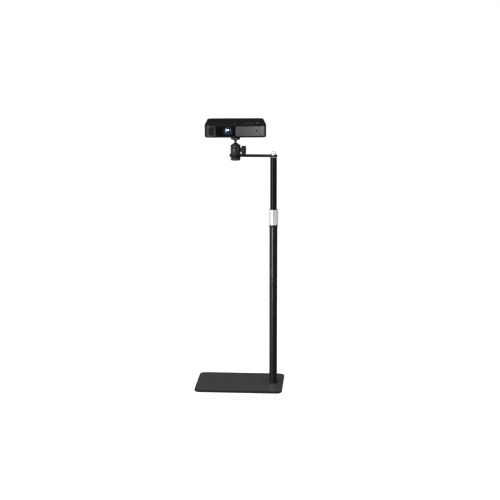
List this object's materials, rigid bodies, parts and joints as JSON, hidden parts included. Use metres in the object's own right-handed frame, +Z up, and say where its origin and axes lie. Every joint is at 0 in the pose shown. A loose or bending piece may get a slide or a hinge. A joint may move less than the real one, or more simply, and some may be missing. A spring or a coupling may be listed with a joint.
{
  "type": "document camera",
  "caption": "Wide flat camera head on a ball head and swinging arm, held by a two-stage twist-lock pole on a heavy rectangular base plate.",
  "frame": {"origin": "centre of the base's underside, on the floor", "axes": "+X from the base's centre towards the pole, -Y towards the front that the lens faces, +Z up"},
  "size_m": [0.327, 0.2791, 0.993],
  "materials": {
    "base_paint": "fine textured powder coat, dark grey",
    "pole_paint": "satin black powder coat",
    "black_metal": "black anodised, satin",
    "chrome": "polished chrome plate",
    "steel": "zinc-plated steel",
    "alloy": "plain aluminium",
    "rubber": "matt black rubber",
    "nylon_black": "black nylon",
    "nylon_white": "natural nylon",
    "case_plastic": "dark grey satin moulding",
    "gloss_black": "gloss black acrylic",
    "panel_grey": "grey metallic satin",
    "lens_coated": "coated optical glass, blue bloom",
    "lens_clear": "clear optical glass",
    "board_green": "green solder mask",
    "sensor_dark": "dark ceramic package",
    "brass": "plain brass",
    "battery_wrap": "blue sleeve over the cells",
    "key_plastic": "dark grey moulded keys"
  },
  "bodies": {
    "stand": {"base_plate": "base_paint", "base_mat": "rubber", "foot_bolt": "steel", "foot_plug": "alloy", "foot_ring": "rubber", "lower_tube": "pole_paint", "lock_seat": "nylon_black", "lock_collet": "nylon_white"},
    "lock_sleeve": {"lock_sleeve": "chrome"},
    "mast": {"upper_tube": "pole_paint", "glide_bush": "nylon_white", "top_plug": "alloy", "pivot_washer": "nylon_white", "pivot_cap_washer": "chrome", "pivot_bolt": "chrome"},
    "swing_arm": {"arm": "pole_paint", "pan_base": "black_metal"},
    "fixing_knob": {"fixing_knob": "nylon_black", "fixing_stud": "steel"},
    "ball_housing": {"ball_housing": "black_metal", "ball_cup": "nylon_white", "brake_shoe": "nylon_white"},
    "clamp_knob": {"clamp_knob": "nylon_black", "clamp_spindle": "steel"},
    "pan_lock_knob": {"pan_lock_knob": "nylon_black", "pan_lock_screw": "steel"},
    "ball": {"ball": "black_metal"},
    "camera_head": {"stem": "black_metal", "platform_pad": "rubber", "camera_screw": "steel", "tripod_bush": "brass", "case_frame": "case_plastic", "bottom_cover": "case_plastic", "top_cover": "case_plastic", "front_fascia": "gloss_black", "front_panel": "panel_grey", "ir_window": "gloss_black", "lens_mount": "nylon_black", "image_sensor": "sensor_dark", "sensor_board": "board_green", "main_board": "board_green", "heat_sink": "alloy", "speaker": "nylon_black", "battery_pack": "battery_wrap", "rear_panel": "case_plastic", "power_jack": "nylon_black", "video_socket": "steel", "usb_sockets": "steel", "key_board": "board_green", "case_screws": "steel", "case_feet": "rubber"},
    "focus_wheel": {"focus_wheel": "key_plastic", "focus_spindle": "steel"},
    "lens_carriage": {"lens_tube": "black_metal", "front_lens": "lens_coated", "rear_lens": "lens_clear"},
    "power_button": {"power_button": "key_plastic"},
    "zoom_in_button": {"zoom_in_button": "key_plastic"},
    "zoom_out_button": {"zoom_out_button": "key_plastic"}
  },
  "joints": [
    {"name": "sleeve_turn", "type": "hinge", "parent": "stand", "child": "lock_sleeve", "pos_m": [0.1255, 0, 0.63], "axis": [0, 0, 1], "range_deg": [0, 120]},
    {"name": "mast_slide", "type": "slide", "parent": "stand", "child": "mast", "axis": [0, 0, 1], "range_m": [-0.19, 0.19]},
    {"name": "arm_swing", "type": "hinge", "parent": "mast", "child": "swing_arm", "pos_m": [0.1255, 0, 0.8715], "axis": [0, 0, 1], "continuous": true},
    {"name": "fixing_knob_turn", "type": "hinge", "parent": "swing_arm", "child": "fixing_knob", "pos_m": [-0.014, 0, 0.8605], "axis": [0, 0, -1], "range_deg": [0, 180]},
    {"name": "pan", "type": "hinge", "parent": "swing_arm", "child": "ball_housing", "pos_m": [-0.014, 0, 0.879], "axis": [0, 0, 1], "continuous": true},
    {"name": "pan_lock_turn", "type": "hinge", "parent": "ball_housing", "child": "pan_lock_knob", "pos_m": [-0.014, -0.0245, 0.884], "axis": [0, -1, 0], "range_deg": [0, 180]},
    {"name": "clamp_turn", "type": "hinge", "parent": "ball_housing", "child": "clamp_knob", "pos_m": [0.0145, 0, 0.8925], "axis": [1, 0, 0], "range_deg": [0, 180]},
    {"name": "head_roll", "type": "hinge", "parent": "ball_housing", "child": "ball", "pos_m": [-0.014, 0, 0.9045], "axis": [0, 1, 0], "range_deg": [-25, 25]},
    {"name": "head_pitch", "type": "hinge", "parent": "ball", "child": "camera_head", "pos_m": [-0.014, 0, 0.9045], "axis": [1, 0, 0], "range_deg": [-40, 80]},
    {"name": "focus_turn", "type": "hinge", "parent": "camera_head", "child": "focus_wheel", "pos_m": [-0.01678, 0.0075, 0.97827], "axis": [-0.0785, 0.9964, 0.0313], "range_deg": [-180, 180]},
    {"name": "lens_focus", "type": "slide", "parent": "camera_head", "child": "lens_carriage", "axis": [0.0785, -0.9964, -0.0313], "range_m": [-0.0015, 0.0015]},
    {"name": "power_button_press", "type": "slide", "parent": "camera_head", "child": "power_button", "axis": [0, -0.0314, 0.9995], "range_m": [-0.0008, 0], "stiffness_N_per_m": 400, "springref_m": 0.0012},
    {"name": "zoom_in_button_press", "type": "slide", "parent": "camera_head", "child": "zoom_in_button", "axis": [0, -0.0314, 0.9995], "range_m": [-0.0008, 0], "stiffness_N_per_m": 400, "springref_m": 0.0012},
    {"name": "zoom_out_button_press", "type": "slide", "parent": "camera_head", "child": "zoom_out_button", "axis": [0, -0.0314, 0.9995], "range_m": [-0.0008, 0], "stiffness_N_per_m": 400, "springref_m": 0.0012}
  ],
  "couplings": [
    {"joint": "focus_turn", "follows": "lens_focus", "rad_per_m": 2094.3}
  ]
}
